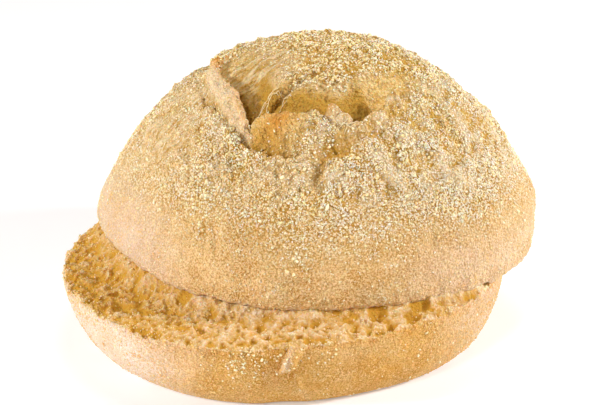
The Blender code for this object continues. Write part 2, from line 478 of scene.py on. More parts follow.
def beside(path, x, y):
    """How far places are to the left of a path, and the third value of the path near there."""
    best = np.full(len(x), 1e9)
    side = np.ones(len(x))
    total, weights = np.zeros(len(x)), np.zeros(len(x))
    for (ax, ay, av), (bx, by, bv) in zip(path, path[1:]):
        dx, dy = bx - ax, by - ay
        share = np.clip(((x - ax) * dx + (y - ay) * dy) / (dx * dx + dy * dy), 0, 1)
        apart = np.hypot(x - ax - share * dx, y - ay - share * dy)
        closer = apart < best
        best = np.where(closer, apart, best)
        side = np.where(closer, np.sign(dx * (y - ay) - dy * (x - ax) + 1e-12), side)
        weight = (apart**2 + 0.05) ** -2
        total += weight * (av + share * (bv - av))
        weights += weight
    return best * side, total / weights


# %% [markdown]
# The torn crown is described as a height over a smooth dome. Each feature adds its own part: the
# hollow, the ledge over it, the strip, the slit, the tongue, the ridge, and the folds around
# them. The same distances give the masks that tell the finishes where dough is bare or toasted,
# and where shade is painted in: in the deep parts of the hollow, the slit and the fold.

# %% Relief of the tear
def hollow_relief(points, x, y):
    """The hollow behind the lip, tongue and ridge, full of torn dough, and its masks, one painted shade."""
    front, depth = beside(LIP + TONGUE + RIDGE, x, y)
    drop = ease((front + 0.1) / 1.0)
    hollow = drop * (1 - 0.30 * ease((front - 1.0) / 5) - 0.70 * ease((front - 4) / 8))
    behind = drop * (1 - ease((front - 6) / 6)) * ease(depth / 2)
    # shade and back_shade are painted shade: a darker colour where the hollow is deep
    shade = (depth * hollow - 1.2) / 3.4 * hump((front - 1) / 5)
    back_shade = 0.95 * ease((depth - 3.9) / 0.6) * ease((x + 7) / 3) * drop * (1 - ease((front - 7.2) / 3.4))
    return 0.8 * behind * layered(points, 4.0, 45) - depth * hollow, behind, np.maximum(shade, back_shade)


def ledge_relief(x, y):
    """The ledge of skin above the hollow."""
    ledge, height = beside(LEDGE, x, y)
    step = 2.7 * (ledge < 0) * ease(-ledge / 0.5) * (1 - ease(-ledge / 5))
    return height * (1.1 * hump((ledge - 0.5) / 1.0) - step)


def strip_relief(x, y):
    """The strip that stands up in front of the hollow, its mask, and its edge over the hollow."""
    side, width = beside(STRIP, x, y)
    strip = ease((side + width) / 0.6) * (1 - ease(side / 0.6)) * ease(width / 1.6)
    rise = strip * (2.3 - 0.7 * np.clip(-side / width.clip(0.5), 0, 1))
    return rise, strip, strip * hump((side - 0.2) / 0.7)


def tongue_relief(x, y, slit):
    """The tongue, which rises from the slit to its torn top edge, and the side of that edge."""
    top, _ = beside(TONGUE, x, y)
    climb = np.where((slit > 0) & (top < 0), np.abs(slit) / (np.abs(slit) + np.abs(top) + 1e-6), 0)
    across = ease((x + 6.6) / 1.6) * (1 - ease((x - 11) / 4))
    rise = np.maximum(3.4 * climb**1.2, 3.2 * hump(np.minimum(top + 0.6, 0) / 3))
    return across * (1 - ease(top / 0.6)) * rise, top


def ridge_relief(x, y):
    """The ridge to the right of the tongue, from 0 to 1."""
    crest, _ = beside(RIDGE, x, y)
    along = ease((x - 12.4) / 1.6) * (1 - ease((x - 27) / 6))
    return along * (1 - ease(crest / 0.6)) * hump(np.minimum(crest + 0.5, 0) / 1.9)


def fold_relief(x, y):
    """The fold in front of the ridge, the flake on the right shoulder, and the notch at the back."""
    fold, deep = beside(FOLD, x, y)
    low_fold = deep * (hump(fold / 1.7) - 0.5 * hump((fold + 2.6) / 1.2))
    flake, high = beside(FLAKE, x, y)
    flake_step = high * (0.8 * hump((flake + 1.0) / 1.3) - 1.2 * hump((flake - 0.7) / 0.9))
    side, notch = beside(NOTCH, x, y)
    inside = ease(side / 1.2 + 0.5)
    notch_step = 0.8 * inside * (1 - ease(side / 9)) - 1.5 * (1 - inside) * (1 - ease(-side / 9))
    return flake_step + notch * notch_step - 2.3 * low_fold, low_fold


def tear_relief(points):
    """Height of the torn crown over a smooth dome, in mm, and masks of its finishes and painted shade."""
    x = points[:, 0] + 0.5 * drift(points, 2.2, 41) + 0.25 * drift(points, 0.8, 42)
    y = points[:, 1] + 0.5 * drift(points, 2.2, 43) + 0.25 * drift(points, 0.8, 44)
    relief, behind, shade = hollow_relief(points, x, y)
    strip_rise, strip, strip_edge = strip_relief(x, y)
    slit, slit_depth = beside(SLIT, x, y)
    groove = slit_depth * np.maximum(hump((slit - 0.6) / 0.75), 0.6 * hump((slit - 1.5) / 1.2))
    skin_edge = slit_depth * hump((slit + 0.8) / 1.2) * (1 - ease((slit + 0.1) / 0.5))
    skin_edge *= 0.5 + 0.5 * drift(points, 2.0, 46)
    tongue, top = tongue_relief(x, y, slit)
    ridge = ridge_relief(x, y)
    folds, low_fold = fold_relief(x, y)
    tuft = lump(x, y, *TUFT)
    relief += ledge_relief(x, y) + 2.8 * ridge - 3.3 * groove + 0.9 * skin_edge + folds + tuft
    relief += lump(x, y, *BULGE) + lump(x, y, *KNOB) + lump(x, y, *FOLD_TIP)
    relief += np.maximum(strip_rise, tongue)

    # the small flake that stands up at the right end of the tongue
    from_nub = np.hypot((x - 12.6) / 1.35, (y + 16.6) / 1.0)
    from_heel = np.hypot((x - 15.0) / 1.8, (y + 17.6) / 0.9)
    nub = np.maximum(4.9 - 1.3 * from_nub**2, 3.3 - 1.5 * from_heel**2)
    on_nub = ease((nub - relief) / 0.5)

    bare = np.maximum(1.4 * behind * (1 - strip), 0.9 * tongue / 2.8 * (1 - ease((x - 3) / 6)))
    toast = lump(x, y, *TONGUE_TOAST) * (top < 0.6) + 0.45 * strip_edge
    toast += on_nub * lump(x, y, *NUB_TOAST) + 1.1 / TUFT[-1] * tuft
    # the deep mask is painted shade in the hollow, the slit and the fold
    deep = np.maximum.reduce([shade, 1.1 * groove, 0.75 * low_fold])
    masks = {
        "bare": np.clip(bare, 0, 1) * (1 - on_nub),
        "strip": strip,
        "toast": toast,
        "deep": np.clip(deep, 0, 1) * (1 - on_nub) * (1 - strip),
        "nub": np.maximum(on_nub, 0.8 * ridge),
    }
    return np.maximum(relief, nub), masks


# %% [markdown]
# The CAD solid has the same tear, only broader and softer. It is taken away before the fine one
# is added, so that the two don't add up.

# %% The broad tear of the solid
CAD_TORN_EDGE = ((-17.5, 8.0), (-14.5, -2.0), (-11.0, -9.5), (-6.5, -16.5), (-1.0, -20.5), (5.0, -22.5))
CAD_CREST = (
    (-18, 15), (-14, 3), (-8.5, -6.5), (-4.5, -12), (5, -14.5), (13, -16.5), (20.5, -15.5), (28, -9.5),
)


def numbered(path):
    """A path with each point's share of the way along as its third value."""
    return [(x, y, i / (len(path) - 1)) for i, (x, y) in enumerate(path)]


def fade(place, start, end):
    """1 along a path, down to 0 over its first share and its last share."""
    return ease(place / start) * ease((1 - place) / end)


def cad_relief(points):
    """How far the CAD crown stands above a smooth dome, in mm."""
    inside, place = beside(numbered(CAD_TORN_EDGE), points[:, 0], points[:, 1])
    relief = -2.6 * hump(inside / 2.6) * fade(place, 0.3, 0.3)
    behind, place = beside(numbered(CAD_CREST), points[:, 0], points[:, 1])
    relief += 1.2 * hump(behind / 3.5) * fade(place, 0.2, 0.2)
    fall = ease(behind / 4.5) * (1 - ease(behind / 14))
    return relief - 6.0 * fall * fade(place, 0.35, 0.35)


# %% [markdown]
# The crown is divided in three rounds: over all that is seen, then about the tear and along the
# rim, and last right along the edges of the tear, where the skin stands up in thin lips.

# %% Divide the crown
CROWN_NET = 1.25

crown = even_net("roll_crown", "bread_crown", CROWN_NET)
points = places(crown)
out = normals(crown)
divide(crown, ((points[:, 1] < 20) & (out[:, 1] < 0.3) | (points[:, 2] > 60)) & (out[:, 2] > -0.5))
points = places(crown)
out = normals(crown)
rim_band = (above_cut(points) < 2.8) & (out[:, 1] < 0.1) & (out[:, 2] > -0.5)
about_tear = (np.hypot((points[:, 0] - 4) / 27, (points[:, 1] + 7) / 18) < 1) & (points[:, 2] > 44)
divide(crown, rim_band | about_tear)
points = places(crown)
edges = [np.abs(beside(path, points[:, 0], points[:, 1])[0]) for path in (LIP + TONGUE + RIDGE, SLIT, LEDGE)]
divide(crown, (np.minimum.reduce(edges) < 1.1) & (points[:, 2] > 46))
print("crown triangles:", triangle_count(crown))

# %% [markdown]
# The tear goes in first, straight up and down. The surface has new directions after that, and
# all finer relief is laid on along them.

# %% Tear the crown open
points = places(crown)
across_x, across_y, height = points.T
lift = above_cut(points)
under = ease((-normals(crown)[:, 2] - 0.45) / 0.3) * ease((16 - lift) / 2)
crust = 1 - under
upper = ease((height - 40) / 8)
tear, masks = tear_relief(points)
torn = points.copy()
torn[:, 2] += (tear - cad_relief(points)) * upper
move_to(crown, torn)
out = normals(crown)
print("tear from", round(tear.min(), 1), "to", round(tear.max(), 1), "mm")

# %% [markdown]
# Where the roll was pulled apart the dough is drawn out in fibres: on the bank behind the hollow,
# and on the skin to the left of the lip. They are drift values stretched along one direction.

# %% Fibres
ALONG_FIBRES = np.array((0.86, 0.30, 0.41))
ACROSS_FIBRES = np.array((-0.50, 0.62, 0.60))

streak_points = np.column_stack([points @ ALONG_FIBRES / 9, points @ ACROSS_FIBRES, across_x / 14])
bank = lump(across_x, across_y, -6, 3, 9, 9, 1) * ease((height - 56) / 4)
pulled = lump(across_x, across_y, -28, 4, 11, 17, 0.75) * ease((height - 40) / 8)
fibrous = np.clip(bank + pulled, 0, 1) * (1 - masks["strip"])
streaks = fibrous * (0.6 * drift(streak_points, 1.8, 51) + 0.45 * drift(streak_points, 0.9, 52))

# %% [markdown]
# Flour and semolina lie thick on the upper part and thin out down the sides. Under them the crust
# is lumpy, and on the right shoulder it has crevices with white ground between them. The crevices
# take golden crust with painted shade in their colour. These zones are worked out once, and both
# the relief and the finishes use them.

# %% Zones of the crust
left_low = ease((-across_x - 18) / 16) * ease((46 - height) / 14)
right_low = ease((across_x - 22) / 20) * ease((42 - height) / 14)
flour = ease((height - 29 + 5 * layered(points, 20, 98)) / 18) * (1 - 0.85 * left_low)
flour = np.clip(flour + 0.35 * layered(points, 12, 61), 0, 1) * (1 - 0.5 * masks["bare"] - 0.5 * fibrous)
flour *= (1 - 0.8 * masks["strip"]) * (1 - 0.5 * masks["nub"]) * (1 - 0.5 * fibrous)
coarse_zone = ease((height - 55) / 5) * (1 - fibrous)
clumps = 0.6 * layered(points, 4.2, 67, 2) + 0.55 * layered(torn, 1.7, 69, 2)
# the crevice mask marks low places between clumps: golden crust with painted shade, mostly on the right
crevice = ease((0.10 - clumps) / 0.45) * (0.25 + 0.75 * ease((across_x - 2) / 8)) * upper
crevice *= (1 - masks["strip"]) * (1 - 0.6 * fibrous)
white = ease((62 + 6 * ease((across_x - 10) / 6) - height) / 6)
white *= ease((height - 34) / 10) * (0.2 + 0.8 * ease((across_x - 1) / 15))
patchy = 0.5 + 0.5 * layered(points, 4.5, 81)
paste = ease((0.62 - patchy) / 0.3) * upper * (1 - crevice) * (0.35 + 0.65 * white) * (1 - fibrous)
paste = np.maximum.reduce([paste, 0.75 * masks["strip"], 0.5 * masks["nub"]])
blotch = 0.5 * hump(np.hypot((across_y + 2) / 5, (height - 32) / 2.2)) * (across_x < -28)

# %% [markdown]
# The relief of the crust is broad lumps, clumps the size of crumbs, and grit. Low on the front
# are a few small dents, and the rim is drawn in and out a little where the knife left it.

# %% Sculpt the crown
# small dents low on the front: x, height, half width, half height and depth in mm
DENTS = (
    (-14.6, 35.1, 1.0, 3.0, 0.6), (-17.0, 35.6, 0.8, 2.2, 0.5), (5.2, 28.1, 3.0, 0.9, 0.5),
    (8.0, 30.5, 2.2, 0.8, 0.4), (22.0, 33.0, 0.8, 2.4, 0.4), (36.0, 35.0, 0.9, 1.6, 0.7),
    (-6.0, 29.5, 1.2, 2.0, 0.4),
)
lumps = 0.5 * layered(points, 10, 62) + 0.16 * layered(torn, 2.6, 63) + 0.06 * drift(torn, 0.9, 64)
lumps += upper * 1.5 * clumps * (1 - masks["bare"]) * (1 - 0.7 * fibrous)
shoulder = upper * ease((across_x - 6) / 8) * ease((60 - height) / 8)
lumps += shoulder * (1.1 * layered(points, 5.5, 91, 2) + 0.35 * layered(torn, 2.2, 94, 2))
grit = 0.30 * pebbles(torn, 1.3, 71) + 0.24 * pebbles(torn, 0.8, 74)
rough = masks["bare"] * (0.35 * layered(torn, 1.9, 77) + 0.12 * drift(torn, 0.7, 79))
relief = crust * (lumps + grit * (0.2 + 0.8 * flour + 0.4 * coarse_zone) - 0.25) + rough + streaks
for dent in DENTS:
    relief -= lump(across_x, height, *dent) * (across_y < 0)
shaped = torn + out * relief[:, None]
near_rim = hump((inside_outline(CROWN_OUTLINE, points) - 0.5) / 2.0) * ease((8 - lift) / 4)
shaped[:, 2] += near_rim * (0.55 * drift(points, 2.8, 65) + 0.55 * drift(points, 1.1, 66) - 0.95)
shaped[:, :2] += out[:, :2] * (near_rim * (0.25 + 0.4 * drift(points, 1.4, 68)))[:, None]
move_to(crown, shaped)
paint(
    crown, crumb=under, flour=flour, coarse=coarse_zone * flour,
    white=white + 0.25 * layered(points, 6, 96) - 0.4 * crevice,
    # the crevice mask is golden crust with painted shade between the clumps
    paste=paste, crevice=crevice, smooth=np.maximum(left_low, 0.6 * right_low), fibrous=fibrous,
    # the deep mask is painted shade in the tear
    bare=masks["bare"], deep=masks["deep"],
    toast=masks["toast"] + blotch * (0.7 + 0.6 * drift(points, 2.0, 97)),
)
print("relief from", round(relief.min(), 1), "to", round(relief.max(), 1), "mm")

# %% [markdown]
# The roll was dusted with semolina and flour before baking. At this size each grain is a solid
# thing that catches light, so grains are real meshes and not a pattern. Two kinds of shape are
# made: stones with twenty faces, and chips with twelve for what is smaller. Each is knocked out
# of shape a little.

# %% Stones and chips
CHIP_SIDE = 1.4
KNOCKS = range(1, 7)


def knocked_grain(seed, chip):
    """Corners and triangles of one small stone with a width of 2; a chip starts as a cube."""
    bpy.ops.object.select_all(action="DESELECT")
    if chip:
        bpy.ops.mesh.primitive_cube_add(size=CHIP_SIDE)
    else:
        bpy.ops.mesh.primitive_ico_sphere_add(subdivisions=1, radius=1)
    ball = bpy.context.active_object
    bpy.ops.object.mode_set(mode="EDIT")
    bpy.ops.mesh.select_all(action="SELECT")
    bpy.ops.mesh.quads_convert_to_tris()
    bpy.ops.transform.vertex_random(offset=0.28, uniform=0.8, seed=seed)
    bpy.ops.object.mode_set(mode="OBJECT")
    corners = np.array([corner.co for corner in ball.data.vertices])
    faces = np.array([face.vertices for face in ball.data.polygons])
    bpy.data.objects.remove(ball)
    return corners, faces


STONES = [knocked_grain(seed, False) for seed in KNOCKS]
CHIPS = [knocked_grain(seed, True) for seed in KNOCKS]
print("a stone has", len(STONES[0][1]), "triangles and a chip", len(CHIPS[0][1]))

# %% [markdown]
# Grains lie closer in some zones than in others. Triangles of the crust are drawn by chance, each
# as often as its area times its weight says, and one grain goes to a random place in each.

# %% Random places and turns
def random_turns(count):
    """Random rotations as 3 by 3 tables."""
    q = rng.normal(size=(count, 4))
    q /= np.linalg.norm(q, axis=1)[:, None]
    w, x, y, z = q.T
    rows = (
        (1 - 2 * (y * y + z * z), 2 * (x * y - z * w), 2 * (x * z + y * w)),
        (2 * (x * y + z * w), 1 - 2 * (x * x + z * z), 2 * (y * z - x * w)),
        (2 * (x * z - y * w), 2 * (y * z + x * w), 1 - 2 * (x * x + y * y)),
    )
    return np.array(rows).transpose(2, 0, 1)


def spots_on(piece, weight, count):
    """Random places on a piece, more where weight is high, and the outward direction at each."""
    piece.data.calc_loop_triangles()
    triangles = numbers(piece.data.loop_triangles, "vertices", 3, np.int32)
    points = places(piece)
    a, b, c = (points[triangles[:, k]] for k in range(3))
    normal = np.cross(b - a, c - a)
    area = np.linalg.norm(normal, axis=1)
    chance = area * weight[triangles].mean(axis=1)
    picked = rng.choice(len(triangles), count, p=chance / chance.sum())
    u = rng.random((count, 1))
    v = rng.random((count, 1))
    over = u + v > 1
    u, v = np.where(over, 1 - u, u), np.where(over, 1 - v, v)
    spots = a[picked] + u * (b - a)[picked] + v * (c - a)[picked]
    return spots, normal[picked] / area[picked][:, None]


# %% [markdown]
# All the grains of a kind are one piece. Each is a copy of a stone or a chip, turned, stretched
# and sized by chance and pressed into the surface. How far each corner stands out of the surface
# is painted on as "tip", so that a grain can get painted shade where it sits in the crust.

# %% Sprinkle grains
SIZE_SPREAD = 0.28
STRETCHES = ((0.9, 1.3), (0.8, 1.1), (0.55, 0.8))


def mesh_piece(name, corners, faces):
    """A new piece from corners in mm and triangles."""
    mesh = bpy.data.meshes.new(name)
    mesh.vertices.add(len(corners))
    mesh.vertices.foreach_set("co", (corners * MM).ravel())
    mesh.loops.add(faces.size)
    mesh.loops.foreach_set("vertex_index", faces.ravel())
    mesh.polygons.add(len(faces))
    mesh.polygons.foreach_set("loop_start", np.arange(0, faces.size, 3))
    mesh.update()
    mesh.validate()
    mesh.shade_smooth()
    piece = bpy.data.objects.new(name, mesh)
    bpy.context.scene.collection.objects.link(piece)
    return piece


def sprinkle(name, piece, weight, count, radius, shapes, sink):
    """One piece made of many grains pressed into the surface of another."""
    spots, up = spots_on(piece, weight, count)
    sizes = radius * rng.lognormal(0, SIZE_SPREAD, count)
    turns = random_turns(count)
    stretch = np.column_stack([rng.uniform(*between, count) for between in STRETCHES])
    kinds = rng.integers(len(shapes), size=count)
    middles = spots + up * (sizes * (1 - 2 * sink))[:, None]
    all_corners, all_faces, tips = [], [], []
    start = 0
    for kind, (corners, faces) in enumerate(shapes):
        mine = np.flatnonzero(kinds == kind)
        shaped = corners[None] * stretch[mine][:, None] * sizes[mine][:, None, None]
        turned = np.einsum("nij,nkj->nki", turns[mine], shaped)
        all_corners.append((turned + middles[mine][:, None]).reshape(-1, 3))
        tips.append((np.einsum("nij,nj->ni", turned, up[mine]) / sizes[mine][:, None]).ravel())
        offsets = start + len(corners) * np.arange(len(mine))
        all_faces.append((faces[None] + offsets[:, None, None]).reshape(-1, 3))
        start += len(corners) * len(mine)
    grains = mesh_piece(name, np.concatenate(all_corners), np.concatenate(all_faces))
    paint(grains, tip=0.5 + 0.5 * np.concatenate(tips))
    print(name, count, "grains,", len(grains.data.polygons), "triangles")
    return grains


def patches(points):
    """More and less of something, in patches about 5 mm wide."""
    return 0.35 + ease(0.5 + layered(points, 5, 99))


# %% [markdown]
# The crown carries large semolina near its top, and fine semolina and flakes of flour all over.
# Low down its crust has a grit of its own. Grains are few where the dough is bare or where the
# tear is deep, and fewer at the back.

# %% Grains on the crown
BACK_SHARE = 0.45
# zones of few grains, and the share that each takes from the large and from the fine ones
SPARED = (
    (masks["bare"], 0.9, 0.85), (fibrous, 0.8, 0.6), (masks["deep"], 0.95, 0.9), (crevice, 0.7, 0.75),
    (paste, 0.8, 0.75), (masks["strip"], 0.97, 0.85), (masks["nub"], 1.0, 0.6),
)
points = places(crown)
out = normals(crown)
in_sight = (points[:, 1] < 22) & (out[:, 1] < 0.4) | (points[:, 2] > 60)
seen = np.where(in_sight, 1.0, BACK_SHARE)
coarse_weight = flour**3 * seen * crust * (0.1 + patchy**2)
fine_weight = (0.12 + flour) * seen * crust * (1 - 0.6 * np.clip(masks["toast"], 0, 1))
for zone, from_coarse, from_fine in SPARED:
    coarse_weight *= 1 - from_coarse * zone
    fine_weight *= 1 - from_fine * zone
low_weight = crust * (1 - crevice) * (1 - ease((points[:, 2] - 46) / 10)) * ease((lift - 0.5) / 1.5)
low_weight *= seen * patches(points)

coarse = sprinkle("semolina_coarse", crown, coarse_weight, 4200, 0.34, STONES, 0.55)
fine = sprinkle("semolina_fine", crown, fine_weight, 9000, 0.19, CHIPS, 0.5)
specks = sprinkle("flour_specks", crown, fine_weight * (0.25 + white), 10000, 0.17, CHIPS, 0.45)
crown_grit = sprinkle("crown_grit", crown, low_weight, 12000, 0.19, CHIPS, 0.62)

# %% [markdown]
# The flank of the base has the same grit. Crumbs lie on the cut face and along its rim, where the
# knife came out, and a few white grains stick to the flank by the flake.

# %% Grains on the base
points = places(base)
across_x, across_y, height = points.T
front = across_y < 0
flank_weight = skin * (1 - 0.75 * np.clip(dusty, 0, 1)) * (height > 1.2) * (across_y < 12)
flank_weight *= patches(points)
crumb_weight = crumb * uncovered * (0.12 + 1.2 * rim)
below_rim = hump((above_cut(points) + 1.5) / 1.6) * ease((4 - across_x) / 8)
crumb_weight += 0.25 * skin * below_rim * front
by_flake = lump(across_x, height, -6, 13.8, 6.5, 2.0, 1) + lump(across_x, height, 10, 15, 5, 1.5, 0.4)

base_grit = sprinkle("base_grit", base, flank_weight, 6000, 0.19, CHIPS, 0.62)
crumbs = sprinkle("bread_crumbs", base, crumb_weight, 2200, 0.2, STONES, 0.4)
few_grains = sprinkle("base_semolina", base, skin * front * (by_flake + 0.02), 170, 0.3, STONES, 0.45)

# %% [markdown]
# Where the crown was pulled open a few threads of dough are left, thinner than a hair. Each is a
# short curve laid just over the torn dough and given a round section; together they are one piece.

# %% Threads in the tear
THREADS = 34
FIRST_BY_NUB = 29
THREAD_RADIUS = 0.085
BEHIND_NUB = np.array((14.2, -19.4))
STEPS = 6


def thread_path(start, end, lift):
    """Points of one thread from a place in plan to another, lifted off the crown in the middle."""
    path = []
    for i in range(STEPS + 1):
        share = i / STEPS
        spot = start + (end - start) * share + rng.normal(0, 0.12, 2)
        hit, place, _, _ = crown.ray_cast(Vector((*spot, 100)) * MM, Vector((0, 0, -1)))
        x, y, z = place if hit else Vector((*spot, 60)) * MM
        rise = 0.02 + lift * math.sin(math.pi * share)
        path.append((x, y, z + rise * MM, 1))
    return path


curves = bpy.data.curves.new("dough_threads", "CURVE")
curves.dimensions = "3D"
curves.bevel_depth = THREAD_RADIUS * MM
curves.bevel_resolution = 0
curves.use_fill_caps = True
ledge_spots = np.array(LEDGE)[:, :2]
for i in range(THREADS):
    share = rng.uniform(0, len(ledge_spots) - 1.01)
    first = int(share)
    start = ledge_spots[first] + (ledge_spots[first + 1] - ledge_spots[first]) * (share - first)
    start += rng.normal(0, 1.4, 2)
    end = start + np.array((-0.82, -0.45)) * rng.uniform(1.2, 3.8) + rng.normal(0, 0.6, 2)
    if i >= FIRST_BY_NUB:
        start = BEHIND_NUB + rng.normal(0, 0.8, 2)
        end = start + np.array((3.2, 0.9)) + rng.normal(0, 0.7, 2)
    spline = curves.splines.new("POLY")
    spline.points.add(STEPS)
    for point, place in zip(spline.points, thread_path(start, end, rng.uniform(0.1, 0.8))):
        point.co = place
        point.radius = rng.uniform(0.7, 1.2)
threads = bpy.data.objects.new("dough_threads", curves)
bpy.context.scene.collection.objects.link(threads)
select_only(threads)
bpy.ops.object.convert(target="MESH")
threads = bpy.context.active_object
threads.data.shade_smooth()
print("threads:", triangle_count(threads), "triangles")

# %% [markdown]
# The finishes are procedural and read the place on the object and the painted masks, so they fit
# at any size. A few short helpers keep their node trees readable.

# %% Helpers for node trees
def feed(tree, value, socket):
    """Gives a socket its value: another socket, a plain colour or a number."""
    if isinstance(value, bpy.types.NodeSocket):
        tree.links.new(value, socket)
    elif isinstance(value, tuple):
        socket.default_value = (*value, 1)
    else:
        socket.default_value = value


def noise(tree, coordinates, scale, detail=2.0, roughness=0.5):
    """A noise texture on given coordinates, at a number of bumps per metre."""
    texture = tree.nodes.new("ShaderNodeTexNoise")
    texture.inputs["Detail"].default_value = detail
    texture.inputs["Roughness"].default_value = roughness
    tree.links.new(coordinates, texture.inputs["Vector"])
    feed(tree, scale, texture.inputs["Scale"])
    return texture


def spread(tree, value, low, high):
    """A value spread so that low becomes 0 and high becomes 1."""
    node = tree.nodes.new("ShaderNodeMapRange")
    node.inputs["From Min"].default_value = low
    node.inputs["From Max"].default_value = high
    tree.links.new(value, node.inputs["Value"])
    return node.outputs["Result"]


def blend(tree, share, first, second):
    """A mix of two colours; each is a socket or a plain colour."""
    mix = tree.nodes.new("ShaderNodeMix")
    mix.data_type = "RGBA"
    for value, label in ((share, "Factor"), (first, "A"), (second, "B")):
        feed(tree, value, mix.inputs[label])
    return mix.outputs["Result"]


def calculate(tree, operation, first, second):
    """A sum, product or the like of two values; each is a socket or a number."""
    node = tree.nodes.new("ShaderNodeMath")
    node.operation = operation
    for value, socket in zip((first, second), node.inputs):
        feed(tree, value, socket)
    return node.outputs["Value"]


def object_place(tree):
    """The place on the object."""
    return tree.nodes.new("ShaderNodeTexCoord").outputs["Object"]


# %% [markdown]
# Four effects are shared by the finishes: a mottle of pale and dark dough, fine dry tooth for the
# light to catch, granules with gaps between them, and the lines of pulled fibres. Each is a node
# group with named inputs, built once.

# %% Shared effects
COLOURS = ("Pale", "Dark", "Color")


def node_group(name, inputs, outputs):
    """A shader node group, with what it is given and what it results in."""
    group = bpy.data.node_groups.new(name, "ShaderNodeTree")
    for side, labels in (("INPUT", inputs), ("OUTPUT", outputs)):
        for label in labels:
            kind = "NodeSocketColor" if label in COLOURS else "NodeSocketFloat"
            group.interface.new_socket(label, in_out=side, socket_type=kind)
    return group, group.nodes.new("NodeGroupInput").outputs, group.nodes.new("NodeGroupOutput").inputs


def make_mottle():
    """Group: colour that wanders between a pale and a dark dough, with fine speckle."""
    inputs = ("Pale", "Dark", "Patch Scale", "Speckle Scale")
    group, given, result = node_group("mottled_dough", inputs, ("Color",))
    place = object_place(group)
    patch = noise(group, place, given["Patch Scale"], 3.0).outputs["Fac"]
    speckle = noise(group, place, given["Speckle Scale"], 3.0).outputs["Fac"]
    patch = calculate(group, "MULTIPLY", spread(group, patch, 0.35, 0.65), 0.35)
    speckle = calculate(group, "MULTIPLY", spread(group, speckle, 0.41, 0.59), 0.65)
    share = calculate(group, "ADD", patch, speckle)
    group.links.new(blend(group, share, given["Dark"], given["Pale"]), result["Color"])
    return group


def make_tooth():
    """Group: bump height of fine, dry tooth in two sizes."""
    group, given, result = node_group("dry_tooth", ("Coarse Scale", "Fine Scale"), ("Height",))
    place = object_place(group)
    broad = noise(group, place, given["Coarse Scale"]).outputs["Fac"]
    small = noise(group, place, given["Fine Scale"]).outputs["Fac"]
    height = calculate(group, "ADD", broad, calculate(group, "MULTIPLY", small, 0.5))
    group.links.new(height, result["Height"])
    return group


def make_granules():
    """Group: rounded granules side by side, with the gaps between them and a tone for each one."""
    group, given, result = node_group("granules", ("Scale", "Warp"), ("Height", "Gap", "Tone"))
    place = object_place(group)
    shift = group.nodes.new("ShaderNodeVectorMath")
    shift.operation = "SCALE"
    group.links.new(noise(group, place, 900.0).outputs["Color"], shift.inputs[0])
    group.links.new(given["Warp"], shift.inputs["Scale"])
    bent = group.nodes.new("ShaderNodeVectorMath")
    group.links.new(place, bent.inputs[0])
    group.links.new(shift.outputs["Vector"], bent.inputs[1])
    cells = group.nodes.new("ShaderNodeTexVoronoi")
    group.links.new(bent.outputs["Vector"], cells.inputs["Vector"])
    group.links.new(given["Scale"], cells.inputs["Scale"])
    from_middle = cells.outputs["Distance"]
    squared = calculate(group, "MULTIPLY", from_middle, from_middle)
    group.links.new(calculate(group, "SUBTRACT", 1.0, squared), result["Height"])
    group.links.new(spread(group, from_middle, 0.32, 0.58), result["Gap"])
    parts = group.nodes.new("ShaderNodeSeparateColor")
    group.links.new(cells.outputs["Color"], parts.inputs["Color"])
    group.links.new(parts.outputs["Red"], result["Tone"])
    return group


def make_fibres():
    """Group: fine stretched lines, as dough has where it was pulled apart."""
    group, given, result = node_group("pulled_fibres", ("Scale",), ("Height",))
    turn = group.nodes.new("ShaderNodeMapping")
    turn.vector_type = "TEXTURE"
    turn.inputs["Rotation"].default_value = (0.0, math.radians(-24), math.radians(20))
    turn.inputs["Scale"].default_value = (9.0, 1.0, 1.0)
    group.links.new(object_place(group), turn.inputs["Vector"])
    lines = noise(group, turn.outputs["Vector"], given["Scale"])
    group.links.new(lines.outputs["Fac"], result["Height"])
    return group


MOTTLE = make_mottle()
TOOTH = make_tooth()
GRANULES = make_granules()
FIBRES = make_fibres()
print("shared effects:", [group.name for group in (MOTTLE, TOOTH, GRANULES, FIBRES)])

# %% [markdown]
# Baked dough is dry and dull, and light goes about a millimetre into it, redder the deeper it
# goes. Every finish starts from such a shader, and then colour and fine relief are laid on it.

# %% Parts of a finish
def baked(name, roughness, scatter, reach):
    """A new material with its tree and its Principled shader, for dough lit to a reach in mm."""
    material = bpy.data.materials.new(name)
    material.use_nodes = True
    shader = material.node_tree.nodes["Principled BSDF"]
    shader.inputs["Roughness"].default_value = roughness
    shader.inputs["Specular IOR Level"].default_value = 0.25
    shader.inputs["Subsurface Weight"].default_value = scatter
    shader.inputs["Subsurface Radius"].default_value = (1.0, 0.45, 0.18)
    shader.inputs["Subsurface Scale"].default_value = reach * MM
    return material, material.node_tree, shader


def use_group(tree, group, **values):
    """A group placed in a material with its own values."""
    node = tree.nodes.new("ShaderNodeGroup")
    node.node_tree = group
    for label, value in values.items():
        feed(tree, value, node.inputs[label.replace("_", " ")])
    return node.outputs


def mottle(tree, pale, dark, patch, speckle):
    """Colour between two tones, in patches and speckles at given numbers per metre."""
    return use_group(tree, MOTTLE, Pale=pale, Dark=dark, Patch_Scale=patch, Speckle_Scale=speckle)["Color"]


def mask(tree, name, amount=1.0):
    """A painted mask of the piece, times an amount."""
    node = tree.nodes.new("ShaderNodeAttribute")
    node.attribute_name = name
    return calculate(tree, "MULTIPLY", node.outputs["Fac"], amount)


def finish(tree, shader, colour, height, distance):
    """Gives a shader its colour, and fine relief that is a distance in mm high."""
    tree.links.new(colour, shader.inputs["Base Color"])
    node = tree.nodes.new("ShaderNodeBump")
    node.inputs["Distance"].default_value = distance * MM
    tree.links.new(height, node.inputs["Height"])
    tree.links.new(node.outputs["Normal"], shader.inputs["Normal"])


